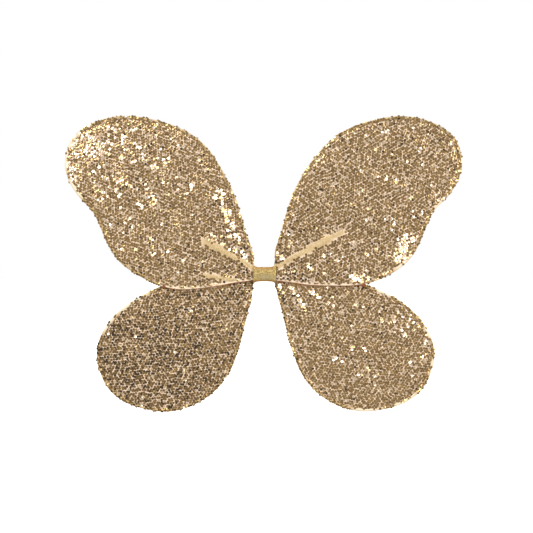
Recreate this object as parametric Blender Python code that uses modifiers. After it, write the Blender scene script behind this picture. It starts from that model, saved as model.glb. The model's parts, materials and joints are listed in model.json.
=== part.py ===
"""Butterfly costume wings: four wire-framed, cloth-covered wings bound at a waisted centre band.

Metres, +Z up as worn. The decorated face looks towards -Y and the wearer's back is at +Y. The
origin is the middle of the centre patch's flat back face. Each side's two wings are tacked
together, and they fold forwards about a vertical axis just outside the band, where their wires
bend. The ends of the elastic shoulder loops are sewn under the centre patch, and each loop
swings back from behind its wings.
"""

import math

import bmesh
import bpy
from mathutils import Vector

MM = 0.001  # outlines and most sizes below are written in millimetres
COLLECTION = "fairy_wings"
SIDES = {"left": -1, "right": 1}

# Frame wire, and the cloth on it
WIRE_RADIUS = 1.0 * MM
CASING_RADIUS = 1.9 * MM
CASING_WALL = 0.5 * MM
CASING_SETBACK = 8 * MM  # the casing stops this far short of the wire's ends, clear of the band
WIRE_POINT_EVERY = 13 * MM
CLOTH_INSET = 2.3 * MM  # from the wire's centre line to the edge of each cloth panel
CLOTH_THICKNESS = 0.8 * MM
CLOTH_OFFSET = 0.8 * MM  # from the wire's plane to the middle of each cloth panel

# The centre stack, from the flat back face forwards (towards -Y)
TOUCH_GAP = 0.3 * MM
PATCH_SIZE = (22 * MM, 1.6 * MM, 14.8 * MM)
BAND_HALF_LENGTH = 12.5 * MM
BAND_HALF_DEPTH = 6.0 * MM
BAND_END_HALF_HEIGHT = 9.3 * MM
BAND_WAIST_HALF_HEIGHT = 8.05 * MM
BAND_WALL = 1.0 * MM
TAPE_HALF_LENGTH = 10.5 * MM
TAPE_WALL = 0.8 * MM
BAND_SQUARENESS = 3.0  # exponent of the band's rounded-box section: 2 is an ellipse
BAND_SEGMENTS = 32
BAND_RINGS = 6
STRAP_THICKNESS = 1.0 * MM
STRAP_END_Y = -PATCH_SIZE[1] - TOUCH_GAP - STRAP_THICKNESS / 2  # under the patch
CENTRE_Y = STRAP_END_Y - STRAP_THICKNESS / 2 - TOUCH_GAP - BAND_HALF_DEPTH
PLANE_OFFSET = 2.1 * MM  # each pair of wings lies this far from the centre's middle plane
UPPER_Y = CENTRE_Y - PLANE_OFFSET
LOWER_Y = CENTRE_Y + PLANE_OFFSET

# Joints
FOLD_X = 17 * MM
CENTRE_WIRE_REACH = 13.4 * MM  # just past the band, clear of the wing's wires as they fold
STRAP_AXIS_X = 12.5 * MM
STRAP_AXIS_Y = 0.8 * MM

# Elastic shoulder loops
STRAP_WIDTH = 6 * MM
STRAP_POINT_EVERY = 8 * MM
STRAP_END_SIZE = (8.7 * MM, STRAP_THICKNESS, STRAP_WIDTH)
STRAP_END_CENTRE = (7.85 * MM, STRAP_END_Y, 4.2 * MM)

SEAM_TACK_RADIUS = 0.8 * MM
SEAM_TACK_LENGTH = 6 * MM
SEAM_TACK_AT = (123.5, -12.0)

# Where the wires cross the centre: height in millimetres and the plane that they lie in
CENTRE_WIRES = {
    "upper_top": (4.2, UPPER_Y),
    "upper_bottom": (-1.8, UPPER_Y),
    "lower_top": (1.8, LOWER_Y),
    "lower_bottom": (-4.2, LOWER_Y),
}

# Centre lines of the right-hand frame wires, (x, z) in millimetres, from the root and back to it.
UPPER_WIRE = [
    (18.2, 4.2), (15.0, 9.5), (14.2, 17), (14.6, 26), (22.6, 50), (30.4, 78), (42, 104.8),
    (59.2, 131.4), (86.4, 158.3), (119, 171.8), (156, 177.3), (186, 171.8), (209.3, 159),
    (220.6, 141), (222.8, 124), (218.6, 107), (206, 88), (191.4, 73), (183.4, 57), (176, 38.5),
    (165, 19.5), (150, 6.2), (132, -3.4), (118, -9.2), (98, -11.8), (76, -11.9), (54, -11.3),
    (33.5, -8.2), (18.2, -1.8),
]
LOWER_WIRE = [
    (18.2, 1.8), (33, 2.2), (56, 0), (84, -4.5), (106, -10.2), (126.5, -17.8), (151.4, -30.8),
    (172.6, -50.2), (184.6, -70.5), (188.9, -90), (185.2, -110), (175.2, -129.2), (159.2, -142),
    (140, -149), (115, -153.1), (89, -149), (63.4, -135.2), (46, -116), (36.4, -96), (28, -69.6),
    (21.8, -42.2), (17.8, -27.5), (15.4, -16.5), (15.8, -9.5), (18.2, -4.2),
]
# Centre line of the right-hand elastic loop, behind the wings.
STRAP_LOOP = [
    (12.8, 4.2), (22, 9), (38, 17), (64, 20), (91, 9), (106, -14), (111, -46), (103, -82),
    (84, -103), (62, -101), (46, -78), (35, -46), (24.5, -18), (19, -8.5), (12.8, -4.2),
]


def clear_scene():
    for found in list(bpy.data.objects):
        bpy.data.objects.remove(found, do_unlink=True)


def material(name, colour, roughness, metallic=0.0):
    made = bpy.data.materials.new(name)
    made.use_nodes = True
    shader = made.node_tree.nodes["Principled BSDF"]
    shader.inputs["Base Color"].default_value = (*colour, 1.0)
    shader.inputs["Roughness"].default_value = roughness
    shader.inputs["Metallic"].default_value = metallic
    return made


def add(name, data, finish, parent=None, place=(0, 0, 0)):
    """Links an object into the wings' collection, with its place given in the world."""
    made = bpy.data.objects.new(name, data)
    bpy.data.collections[COLLECTION].objects.link(made)
    if finish is not None:
        data.materials.append(finish)
    made.location = Vector(place)
    if parent is not None:
        made.parent = parent
        made.location -= parent.location
    return made


def axis_empty(name, place):
    made = bpy.data.objects.new(name, None)
    bpy.data.collections[COLLECTION].objects.link(made)
    made.location = place
    return made


def in_metres(points, side=1):
    return [Vector((side * x * MM, z * MM)) for x, z in points]


def smooth_path(knots, every):
    """Points about this far apart on a smooth curve through the knots."""
    gaps = [(b - a).length for a, b in zip(knots, knots[1:])]
    slopes = [(knots[1] - knots[0]) / gaps[0]]
    for i in range(1, len(knots) - 1):
        slopes.append((knots[i + 1] - knots[i - 1]) / (gaps[i - 1] + gaps[i]))
    slopes.append((knots[-1] - knots[-2]) / gaps[-1])
    path = [knots[0]]
    for i, gap in enumerate(gaps):
        steps = max(1, round(gap / every))
        for step in range(1, steps + 1):
            t = step / steps
            path.append(
                knots[i] * (2 * t**3 - 3 * t**2 + 1)
                + slopes[i] * gap * (t**3 - 2 * t**2 + t)
                + knots[i + 1] * (3 * t**2 - 2 * t**3)
                + slopes[i + 1] * gap * (t**3 - t**2)
            )
    return path


def moved_sideways(path, distance):
    """The path shifted to its left by a distance, each point along its own normal."""
    shifted = []
    for i, point in enumerate(path):
        along = (path[min(i + 1, len(path) - 1)] - path[max(i - 1, 0)]).normalized()
        shifted.append(point + Vector((-along.y, along.x)) * distance)
    return shifted


def trimmed(path, length):
    """The path with this length taken off both of its ends."""
    for _ in range(2):
        left = length
        while (path[1] - path[0]).length < left:
            left -= (path[1] - path[0]).length
            path = path[1:]
        first = path[0] + (path[1] - path[0]).normalized() * left
        path = ([first] + path[1:])[::-1]
    return path


def upright_points(path, y):
    return [Vector((p.x, y, p.y)) for p in path]


def tube(name, points, radius, finish, parent=None, wall=None):
    """A wire along the points, or an open-ended casing if it has a wall."""
    data = bpy.data.curves.new(name, "CURVE")
    data.dimensions = "3D"
    data.bevel_depth = radius
    data.bevel_resolution = 2
    data.use_fill_caps = wall is None
    spline = data.splines.new("POLY")
    spline.points.add(len(points) - 1)
    for target, point in zip(spline.points, points):
        target.co = (*point, 1.0)
    made = add(name, data, finish, parent)
    if parent is not None:
        for target in spline.points:
            target.co = (*(target.co.to_3d() - parent.location), 1.0)
        made.location = (0, 0, 0)
    if wall is not None:
        shell = made.modifiers.new("Wall", "SOLIDIFY")
        shell.thickness = wall
        shell.offset = -1
    return made


def sheet(name, outline, y, thickness, finish, parent=None):
    """A flat closed outline in the XZ plane, with half its thickness each side of y."""
    data = bpy.data.curves.new(name, "CURVE")
    data.dimensions = "2D"
    data.fill_mode = "BOTH"
    data.extrude = thickness / 2
    spline = data.splines.new("POLY")
    spline.points.add(len(outline) - 1)
    for target, point in zip(spline.points, outline):
        target.co = (point.x, point.y, 0.0, 1.0)
    spline.use_cyclic_u = True
    made = add(name, data, finish, parent, (0, y, 0))
    made.rotation_euler = (math.pi / 2, 0, 0)
    return made


def box(name, size, place, finish, rounding=0.2 * MM):
    data = bpy.data.meshes.new(name)
    shape = bmesh.new()
    bmesh.ops.create_cube(shape, size=1.0)
    bmesh.ops.scale(shape, vec=size, verts=shape.verts)
    shape.to_mesh(data)
    shape.free()
    made = add(name, data, finish, place=place)
    edge = made.modifiers.new("Rounding", "BEVEL")
    edge.width = rounding
    edge.segments = 1
    return made


def sleeve(name, half_length, inset, wall, finish):
    """A waisted sleeve along X with a rounded-box section, this far inside the band's outside."""
    data = bpy.data.meshes.new(name)
    shape = bmesh.new()
    bmesh.ops.create_cone(
        shape, cap_ends=False, segments=BAND_SEGMENTS, radius1=1, radius2=1, depth=2
    )
    lengthwise = [e for e in shape.edges if abs(e.verts[0].co.z - e.verts[1].co.z) > 1]
    bmesh.ops.subdivide_edges(shape, edges=lengthwise, cuts=BAND_RINGS - 1, use_grid_fill=True)
    for vert in shape.verts:
        across, up, along = vert.co
        x = along * half_length
        power = BAND_SQUARENESS
        squared = (abs(across) ** power + abs(up) ** power) ** (-1 / power)
        flare = (x / BAND_HALF_LENGTH) ** 2
        height = BAND_WAIST_HALF_HEIGHT + (BAND_END_HALF_HEIGHT - BAND_WAIST_HALF_HEIGHT) * flare
        vert.co = (
            x,
            across * squared * (BAND_HALF_DEPTH - inset),
            up * squared * (height - inset),
        )
    shape.to_mesh(data)
    shape.free()
    data.shade_smooth()
    made = add(name, data, finish, place=(0, CENTRE_Y, 0))
    shell = made.modifiers.new("Wall", "SOLIDIFY")
    shell.thickness = wall
    shell.offset = -1
    return made


def centre(finishes):
    sleeve("centre_band", BAND_HALF_LENGTH, 0.0, BAND_WALL, finishes["glitter"])
    sleeve("tape_wrap", TAPE_HALF_LENGTH, BAND_WALL + TOUCH_GAP, TAPE_WALL, finishes["tape"])
    for name, (height, y) in CENTRE_WIRES.items():
        ends = [Vector((end * CENTRE_WIRE_REACH, y, height * MM)) for end in (-1, 1)]
        tube("centre_wire_" + name, ends, WIRE_RADIUS, finishes["steel"])
    box("back_patch", PATCH_SIZE, (0, -PATCH_SIZE[1] / 2, 0), finishes["felt"])
    x, y, z = STRAP_END_CENTRE
    for side, sign in SIDES.items():
        for level, up in (("upper", 1), ("lower", -1)):
            box(
                f"strap_end_{side}_{level}",
                STRAP_END_SIZE,
                (sign * x, y, up * z),
                finishes["elastic"],
            )


def wing(level, side, sign, knots, y, fold, finishes):
    """One wing: its wire, the casing round the wire, and a cloth panel on each face."""
    name = f"{level}_{side}"
    path = smooth_path(in_metres(knots, sign), WIRE_POINT_EVERY)
    tube(name + "_frame_wire", upright_points(path, y), WIRE_RADIUS, finishes["steel"], fold)
    casing = upright_points(trimmed(path, CASING_SETBACK), y)
    tube(name + "_edge_casing", casing, CASING_RADIUS, finishes["casing"], fold, CASING_WALL)
    # The right-hand outlines run clockwise, so their inside is on the right of the path.
    outline = moved_sideways(path, -sign * CLOTH_INSET)
    sheet(
        name + "_sequin_cloth", outline, y - CLOTH_OFFSET, CLOTH_THICKNESS,
        finishes["sequin"], fold,
    )
    sheet(
        name + "_back_lining", outline, y + CLOTH_OFFSET, CLOTH_THICKNESS,
        finishes["lining"], fold,
    )


def seam_tack(side, sign, fold, finishes):
    x, z = SEAM_TACK_AT
    ends = [
        Vector((sign * x * MM, CENTRE_Y + end * SEAM_TACK_LENGTH / 2, z * MM)) for end in (-1, 1)
    ]
    tube("seam_tack_" + side, ends, SEAM_TACK_RADIUS, finishes["thread"], fold)


def strap(side, sign, finishes):
    swing = axis_empty("strap_swing_" + side, (sign * STRAP_AXIS_X, STRAP_AXIS_Y, 0))
    path = smooth_path(in_metres(STRAP_LOOP, sign), STRAP_POINT_EVERY)
    outer = moved_sideways(path, STRAP_THICKNESS / 2)
    inner = moved_sideways(path, -STRAP_THICKNESS / 2)
    sheet(
        "strap_" + side, outer + inner[::-1], STRAP_AXIS_Y, STRAP_WIDTH,
        finishes["elastic"], swing,
    )


def build():
    clear_scene()
    bpy.context.scene.collection.children.link(bpy.data.collections.new(COLLECTION))
    finishes = {
        "glitter": material("glitter_cloth", (0.49, 0.34, 0.12), 0.45, 0.5),
        "sequin": material("sequin_cloth", (0.42, 0.30, 0.17), 0.35, 0.7),
        "casing": material("casing_cloth", (0.80, 0.64, 0.44), 0.55),
        "lining": material("lining_cloth", (0.74, 0.58, 0.38), 0.6),
        "steel": material("frame_steel", (0.56, 0.55, 0.53), 0.35, 1.0),
        "tape": material("binding_tape", (0.85, 0.82, 0.74), 0.7),
        "felt": material("patch_felt", (0.78, 0.66, 0.46), 0.9),
        "elastic": material("strap_elastic", (0.86, 0.80, 0.68), 0.7),
        "thread": material("tack_thread", (0.55, 0.20, 0.08), 0.6),
    }
    centre(finishes)
    for side, sign in SIDES.items():
        fold = axis_empty("wing_fold_" + side, (sign * FOLD_X, CENTRE_Y, 0))
        wing("upper", side, sign, UPPER_WIRE, UPPER_Y, fold, finishes)
        wing("lower", side, sign, LOWER_WIRE, LOWER_Y, fold, finishes)
        seam_tack(side, sign, fold, finishes)
        strap(side, sign, finishes)


build()
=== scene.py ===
# %% [markdown]
# # Sequinned fairy wings
# A pair of costume wings: four steel wire loops, each with a sequinned cloth front and a plain
# lining, gathered into a waisted band of glitter cloth. The joints, wires and sizes come from the
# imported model, which is the fixed frame. This script adds what a maker would see and touch: the
# cloth and its gathers, the rolled edges, the sequins, the threads and the elastic.

# %% Load the frame
import json
import math

import bmesh
import bpy
import numpy as np
from mathutils import Matrix, Vector

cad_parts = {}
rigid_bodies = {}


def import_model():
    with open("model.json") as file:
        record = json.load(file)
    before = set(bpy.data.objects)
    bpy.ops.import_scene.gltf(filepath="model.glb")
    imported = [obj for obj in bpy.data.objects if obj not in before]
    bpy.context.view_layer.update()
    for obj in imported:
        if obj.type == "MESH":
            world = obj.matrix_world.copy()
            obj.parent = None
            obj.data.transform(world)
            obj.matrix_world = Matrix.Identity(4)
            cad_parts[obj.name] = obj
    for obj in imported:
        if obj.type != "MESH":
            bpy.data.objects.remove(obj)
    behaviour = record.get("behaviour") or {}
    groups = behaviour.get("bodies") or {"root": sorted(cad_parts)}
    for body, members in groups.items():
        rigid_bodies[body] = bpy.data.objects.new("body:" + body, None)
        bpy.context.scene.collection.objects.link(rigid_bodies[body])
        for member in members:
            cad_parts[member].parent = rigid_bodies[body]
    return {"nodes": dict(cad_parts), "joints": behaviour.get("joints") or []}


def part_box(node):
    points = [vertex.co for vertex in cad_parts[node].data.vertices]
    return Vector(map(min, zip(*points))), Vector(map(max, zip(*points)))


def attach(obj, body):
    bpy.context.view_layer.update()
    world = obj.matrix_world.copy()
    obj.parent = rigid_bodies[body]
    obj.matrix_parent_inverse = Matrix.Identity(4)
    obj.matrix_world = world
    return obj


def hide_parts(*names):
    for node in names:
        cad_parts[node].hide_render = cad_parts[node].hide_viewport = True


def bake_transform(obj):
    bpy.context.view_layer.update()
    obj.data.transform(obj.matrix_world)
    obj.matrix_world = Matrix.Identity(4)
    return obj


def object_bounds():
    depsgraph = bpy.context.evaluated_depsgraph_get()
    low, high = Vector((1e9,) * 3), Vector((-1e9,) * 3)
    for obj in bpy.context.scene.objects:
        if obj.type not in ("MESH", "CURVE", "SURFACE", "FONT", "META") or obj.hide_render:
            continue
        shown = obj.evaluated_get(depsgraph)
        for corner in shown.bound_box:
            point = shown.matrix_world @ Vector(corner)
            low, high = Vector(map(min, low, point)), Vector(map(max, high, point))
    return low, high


for leftover in list(bpy.data.objects):
    bpy.data.objects.remove(leftover)
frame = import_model()
CAD_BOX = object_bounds()
MM = 0.001
SIDES = {"left": -1, "right": 1}
put_in_scene = bpy.context.scene.collection.objects.link
nodes = frame["nodes"]
joints = {joint["name"]: joint for joint in frame["joints"]}
print("box:", [[round(x, 4) for x in corner] for corner in CAD_BOX])

# %% [markdown]
# ## The camera and the light
# A flat, shiny, textured thing needs a long lens from straight in front, so that its outline isn't
# distorted. Sequins are small mirrors: they show the room and not the lamp's brightness on them.
# So the room is a plain warm white, which the foils turn brown-gold, and soft lamps stand where
# only a tilted sequin can see them, which makes the sparkle.

# %% Camera
LENS = 85.0
FRAME_WIDTH = 0.6012  # the width of the view at the wings' front
AIM = Vector((0.0034, CAD_BOX[0].y, 0.0088))
camera_data = bpy.data.cameras.new("camera")
camera_data.lens = LENS
camera = bpy.data.objects.new("camera", camera_data)
put_in_scene(camera)
camera.location = AIM + Vector((0, -FRAME_WIDTH * LENS / camera_data.sensor_width, 0))
camera.rotation_euler = (math.radians(90), 0, 0)
bpy.context.scene.camera = camera
print("camera is", round(-camera.location.y, 3), "m in front")


# %% Studio
LAMP_SIZE, LAMP_AIM = 0.9, Vector((0, 0, 0.02))
KEY_PLACE = (-0.75, -1.25, 1.05)
ROOM_COLOUR, ROOM_STRENGTH = (1.0, 0.95, 0.88, 1.0), 0.73


def soft_lamp(name, place, power):
    data = bpy.data.lights.new(name, "AREA")
    data.shape = "DISK"
    data.size = LAMP_SIZE
    data.energy = power
    lamp = bpy.data.objects.new(name, data)
    put_in_scene(lamp)
    lamp.location = place
    lamp.rotation_euler = (LAMP_AIM - lamp.location).to_track_quat("-Z", "Y").to_euler()


soft_lamp("key_lamp", KEY_PLACE, 16)
soft_lamp("fill_lamp", (1.35, -1.0, 0.45), 12)
soft_lamp("back_lamp", (0.5, 1.3, 0.9), 10)

world = bpy.data.worlds.new("studio")
bpy.context.scene.world = world
world.use_nodes = True
sky = world.node_tree
backdrop, room = sky.nodes["Background"], sky.nodes.new("ShaderNodeBackground")
for node, colour, strength in ((backdrop, (1, 1, 1, 1), 1.0), (room, ROOM_COLOUR, ROOM_STRENGTH)):
    node.inputs["Color"].default_value = colour
    node.inputs["Strength"].default_value = strength
seen = sky.nodes.new("ShaderNodeLightPath")
either = sky.nodes.new("ShaderNodeMixShader")
sky.links.new(seen.outputs["Is Camera Ray"], either.inputs["Fac"])
sky.links.new(room.outputs["Background"], either.inputs[1])
sky.links.new(backdrop.outputs["Background"], either.inputs[2])
sky.links.new(either.outputs["Shader"], sky.nodes["World Output"].inputs["Surface"])
bpy.context.scene.view_settings.view_transform = "Standard"

FLOOR_DROP, FLOOR_HALF = 0.16, 30
floor_mesh = bpy.data.meshes.new("floor")
floor_shape = bmesh.new()
bmesh.ops.create_grid(floor_shape, x_segments=1, y_segments=1, size=FLOOR_HALF)
floor_shape.to_mesh(floor_mesh)
floor_shape.free()
floor = bpy.data.objects.new("floor", floor_mesh)
put_in_scene(floor)
floor.location.z = CAD_BOX[0].z - FLOOR_DROP
floor_paint = bpy.data.materials.new("white_floor")
floor_paint.use_nodes = True
floor_shader = floor_paint.node_tree.nodes["Principled BSDF"]
floor_shader.inputs["Base Color"].default_value = (0.9, 0.9, 0.9, 1)
floor_shader.inputs["Roughness"].default_value = 0.9
floor_shader.inputs["Emission Color"].default_value = (1, 1, 1, 1)
floor_shader.inputs["Emission Strength"].default_value = 1.0
floor_mesh.materials.append(floor_paint)
floor.visible_diffuse = False
floor.visible_glossy = False

# %% [markdown]
# ## Finishes
# Each finish is a few shader nodes on Object coordinates, or on a map that follows the piece. The
# sequins are plain foil in several tints, one tint to a sequin, because each is so small that its
# shape and tilt are all the pattern it needs.


# %% Material helpers
FLECK_SCALE = 1300.0


def finish(name, colour, roughness, metallic=0.0):
    made = bpy.data.materials.new(name)
    made.use_nodes = True
    shader = made.node_tree.nodes["Principled BSDF"]
    shader.inputs["Base Color"].default_value = (*colour, 1.0)
    shader.inputs["Roughness"].default_value = roughness
    shader.inputs["Metallic"].default_value = metallic
    return made


def add_node(tree, kind, **inputs):
    node = tree.nodes.new(kind)
    for name, value in inputs.items():
        node.inputs[name.replace("_", " ")].default_value = value
    return node


def on_object(tree, kind, **inputs):
    """A texture node that reads Object coordinates."""
    texture = add_node(tree, kind, **inputs)
    where = tree.nodes.new("ShaderNodeTexCoord")
    tree.links.new(where.outputs["Object"], texture.inputs["Vector"])
    return texture


def mottle(made, pale, dark, scale, detail=3.0):
    """Colour that drifts between two tones, as dyed cloth does."""
    tree = made.node_tree
    noise = on_object(tree, "ShaderNodeTexNoise", Scale=scale, Detail=detail)
    ramp = tree.nodes.new("ShaderNodeValToRGB")
    for element, place, tone in zip(ramp.color_ramp.elements, (0.32, 0.68), (dark, pale)):
        element.position = place
        element.color = (*tone, 1)
    tree.links.new(noise.outputs["Fac"], ramp.inputs["Fac"])
    tree.links.new(ramp.outputs["Color"], tree.nodes["Principled BSDF"].inputs["Base Color"])


def change_where(made, name, other, speckled=None):
    """Where the attribute is 1, the colour changes to another one, or to flecks of two."""
    tree = made.node_tree
    base = tree.nodes["Principled BSDF"].inputs["Base Color"]
    mask = tree.nodes.new("ShaderNodeAttribute")
    mask.attribute_name = name
    mix = tree.nodes.new("ShaderNodeMix")
    mix.data_type = "RGBA"
    mix.inputs["B"].default_value = (*other, 1)
    tree.links.new(mask.outputs["Fac"], mix.inputs["Factor"])
    tree.links.new(base.links[0].from_socket, mix.inputs["A"])
    if speckled:
        cells = on_object(tree, "ShaderNodeTexVoronoi", Scale=FLECK_SCALE, Randomness=1.0)
        flecks = tree.nodes.new("ShaderNodeMix")
        flecks.data_type = "RGBA"
        flecks.inputs["A"].default_value = (*other, 1)
        flecks.inputs["B"].default_value = (*speckled, 1)
        pick = tree.nodes.new("ShaderNodeSeparateColor")
        tree.links.new(cells.outputs["Color"], pick.inputs["Color"])
        tree.links.new(pick.outputs["Red"], flecks.inputs["Factor"])
        tree.links.new(flecks.outputs["Result"], mix.inputs["B"])
    tree.links.new(mix.outputs["Result"], base)


def paint(piece, name, values):
    """A value for each point, which the finish reads by name."""
    layer = piece.data.attributes.new(name, "FLOAT", "POINT")
    layer.data.foreach_set("value", np.asarray(values, np.float32))


def weave_bump(made, scale, strength, distance):
    """A fine crossed weave, as bump."""
    tree = made.node_tree
    both = tree.nodes.new("ShaderNodeMath")
    both.operation = "MULTIPLY"
    for i, direction in enumerate("XZ"):
        wave = on_object(tree, "ShaderNodeTexWave", Scale=scale, Distortion=0.6, Detail=1.0)
        wave.bands_direction = direction
        tree.links.new(wave.outputs["Fac"], both.inputs[i])
    bump = add_node(tree, "ShaderNodeBump", Strength=strength, Distance=distance)
    tree.links.new(both.outputs["Value"], bump.inputs["Height"])
    tree.links.new(bump.outputs["Normal"], tree.nodes["Principled BSDF"].inputs["Normal"])


# %% The cloths
# The cloth under the sequins is painted paler than the bare pleats, partly painted light: it keeps the
# gaps between the sequins bright where the sequins shade them.
backing_cloth = finish("peach_gold_cloth", (0.80, 0.60, 0.40), 0.5)
mottle(backing_cloth, (0.93, 0.76, 0.61), (0.90, 0.68, 0.49), 90.0)
change_where(backing_cloth, "bare", (0.44, 0.30, 0.13), (0.74, 0.57, 0.32))
weave_bump(backing_cloth, 420.0, 0.35, 0.0002)
lining_cloth = finish("pale_gold_lining", (0.72, 0.56, 0.36), 0.42)
mottle(lining_cloth, (0.70, 0.55, 0.36), (0.60, 0.45, 0.28), 24.0)
weave_bump(lining_cloth, 420.0, 0.25, 0.0002)
rim_cloth = finish("cream_rim_cloth", (0.88, 0.72, 0.50), 0.5)
mottle(rim_cloth, (0.68, 0.51, 0.27), (0.54, 0.37, 0.16), 70.0)
change_where(rim_cloth, "bare", (0.88, 0.75, 0.56))
weave_bump(rim_cloth, 500.0, 0.3, 0.00015)

# The smoked and antique foils also serve as painted shade near the roots and far out on the lower left
# wing, and the champagne foil is the main tint of stroked and loose sequins, as a painted highlight.
SEQUIN_TINTS = {
    "smoked_foil": ((0.075, 0.055, 0.032), 0.2),
    "antique_foil": ((0.27, 0.174, 0.074), 0.18),
    "bronze_foil": ((0.36, 0.236, 0.102), 0.17),
    "gold_foil": ((0.44, 0.300, 0.137), 0.16),
    "honey_foil": ((0.56, 0.385, 0.170), 0.16),
    "champagne_foil": ((0.90, 0.74, 0.56), 0.15),
}
TINT_SHARES = (0.02, 0.16, 0.34, 0.31, 0.09, 0.08)
LOWER_LEFT_SHADE_SHARES = (0.28, 0.41, 0.20, 0.06, 0.02, 0.03)
ROOT_SHADE_SHARES = (0.34, 0.30, 0.20, 0.08, 0.03, 0.05)
PALE_HIGHLIGHT_SHARES = (0.0, 0.0, 0.06, 0.16, 0.18, 0.60)
foils = [finish(name, tint, rough, 1.0) for name, (tint, rough) in SEQUIN_TINTS.items()]
knot_thread = finish("knot_thread", (0.11, 0.065, 0.03), 0.8)
print(len(foils), "foils")


# %% Glitter, felt, elastic, steel and thread
def speckle(made, tones, roughness, bump):
    """Flecks in several tones, each fleck its own size and gloss."""
    tree = made.node_tree
    cells = on_object(tree, "ShaderNodeTexVoronoi", Scale=FLECK_SCALE, Randomness=1.0)
    pick = tree.nodes.new("ShaderNodeSeparateColor")
    ramp = tree.nodes.new("ShaderNodeValToRGB")
    ramp.color_ramp.interpolation = "CONSTANT"
    while len(ramp.color_ramp.elements) < len(tones):
        ramp.color_ramp.elements.new(0.5)
    for i, (element, tone) in enumerate(zip(ramp.color_ramp.elements, tones)):
        element.position = i / len(tones)
        element.color = (*tone, 1)
    shine = add_node(tree, "ShaderNodeMapRange", To_Min=roughness[0], To_Max=roughness[1])
    lift = add_node(tree, "ShaderNodeBump", Strength=bump, Distance=0.0002)
    shader = tree.nodes["Principled BSDF"]
    tree.links.new(cells.outputs["Color"], pick.inputs["Color"])
    tree.links.new(pick.outputs["Red"], ramp.inputs["Fac"])
    tree.links.new(pick.outputs["Green"], shine.inputs["Value"])
    tree.links.new(pick.outputs["Blue"], lift.inputs["Height"])
    tree.links.new(ramp.outputs["Color"], shader.inputs["Base Color"])
    tree.links.new(shine.outputs["Result"], shader.inputs["Roughness"])
    tree.links.new(lift.outputs["Normal"], shader.inputs["Normal"])


glitter_cloth = finish("glitter_cloth", (0.62, 0.42, 0.14), 0.45, 0.35)
speckle(glitter_cloth, [(0.24, 0.145, 0.03), (0.46, 0.30, 0.075), (0.53, 0.37, 0.12),
                        (0.34, 0.28, 0.14), (0.80, 0.62, 0.26)], (0.3, 0.65), 0.7)
# The glitter turns greyer in a patch below the middle of the band's front.
change_where(glitter_cloth, "rubbed", (0.56, 0.48, 0.28), (0.22, 0.18, 0.09))
# Painted shade: the band's top and bottom edges, where the cloth turns away, are painted orange-brown.
change_where(glitter_cloth, "worn", (0.44, 0.20, 0.02))
wool_felt = finish("wool_felt", (0.78, 0.66, 0.46), 0.95)
mottle(wool_felt, (0.80, 0.69, 0.49), (0.68, 0.56, 0.38), 900.0, 6.0)
wool_felt.node_tree.nodes["Principled BSDF"].inputs["Sheen Weight"].default_value = 0.4
ribbed_elastic = finish("ribbed_elastic", (0.86, 0.80, 0.68), 0.7)
mottle(ribbed_elastic, (0.89, 0.83, 0.72), (0.76, 0.69, 0.56), 260.0)
weave_bump(ribbed_elastic, 600.0, 0.4, 0.00015)
drawn_steel = finish("drawn_steel", (0.56, 0.55, 0.53), 0.34, 1.0)
mottle(drawn_steel, (0.60, 0.59, 0.57), (0.44, 0.43, 0.42), 300.0)
cloth_tape = finish("cloth_tape", (0.85, 0.82, 0.74), 0.85)
mottle(cloth_tape, (0.87, 0.84, 0.77), (0.74, 0.70, 0.62), 180.0)
weave_bump(cloth_tape, 500.0, 0.4, 0.00015)
seam_thread = finish("russet_thread", (0.36, 0.10, 0.035), 0.6)
mottle(seam_thread, (0.46, 0.14, 0.045), (0.22, 0.07, 0.03), 500.0)
cream_thread = finish("cream_thread", (0.84, 0.72, 0.52), 0.6)
mottle(cream_thread, (0.86, 0.75, 0.56), (0.70, 0.57, 0.38), 500.0)
print("finishes:", len(bpy.data.materials))

# %% [markdown]
# ## The outlines
# Everything on a wing follows its bent wire, so the outline is read from the frame: the edge of the
# flat panel that the design holds for each wing's cloth. It is put in order by walking its edges,
# smoothed, and moved out to the wire's centre line.


# %% Read a panel's edge
PANEL_TO_WIRE = 2.3 * MM


def walk_edge(node_name):
    """The front edge of a flat CAD panel as an ordered ring of (x, z) points."""
    shape = bmesh.new()
    shape.from_mesh(nodes[node_name].data)
    bmesh.ops.remove_doubles(shape, verts=shape.verts, dist=1e-6)
    shape.normal_update()
    front = {f for f in shape.faces if f.normal.y < -0.9}
    rim = [e for e in shape.edges if len(set(e.link_faces) & front) == 1]
    following = {}
    for edge in rim:
        face = next(f for f in edge.link_faces if f in front)
        for loop in face.loops:
            if loop.edge == edge:
                following[loop.vert] = loop.link_loop_next.vert
    start = min(following, key=lambda v: abs(v.co.x))
    ring = [start]
    while following[ring[-1]] != start:
        ring.append(following[ring[-1]])
    points = [Vector((v.co.x, v.co.z)) for v in ring]
    shape.free()
    return points


def smooth_path(knots, every):
    """Points about this far apart on a smooth curve through the knots."""
    gaps = [(b - a).length for a, b in zip(knots, knots[1:])]
    slopes = [(knots[1] - knots[0]) / gaps[0]]
    for i in range(1, len(knots) - 1):
        slopes.append((knots[i + 1] - knots[i - 1]) / (gaps[i - 1] + gaps[i]))
    slopes.append((knots[-1] - knots[-2]) / gaps[-1])
    path = [knots[0]]
    for i, gap in enumerate(gaps):
        steps = max(1, round(gap / every))
        for step in range(1, steps + 1):
            t = step / steps
            path.append(knots[i] * (2 * t**3 - 3 * t**2 + 1)
                        + slopes[i] * gap * (t**3 - 2 * t**2 + t)
                        + knots[i + 1] * (3 * t**2 - 2 * t**3)
                        + slopes[i + 1] * gap * (t**3 - t**2))
    return path


def moved_out(path, distance, side):
    """The path moved away from the wing's inside, each point along its own normal."""
    shifted = []
    for i, point in enumerate(path):
        way = (path[min(i + 1, len(path) - 1)] - path[max(i - 1, 0)]).normalized()
        shifted.append(point + Vector((-way.y, way.x)) * distance * side)
    return shifted


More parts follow.
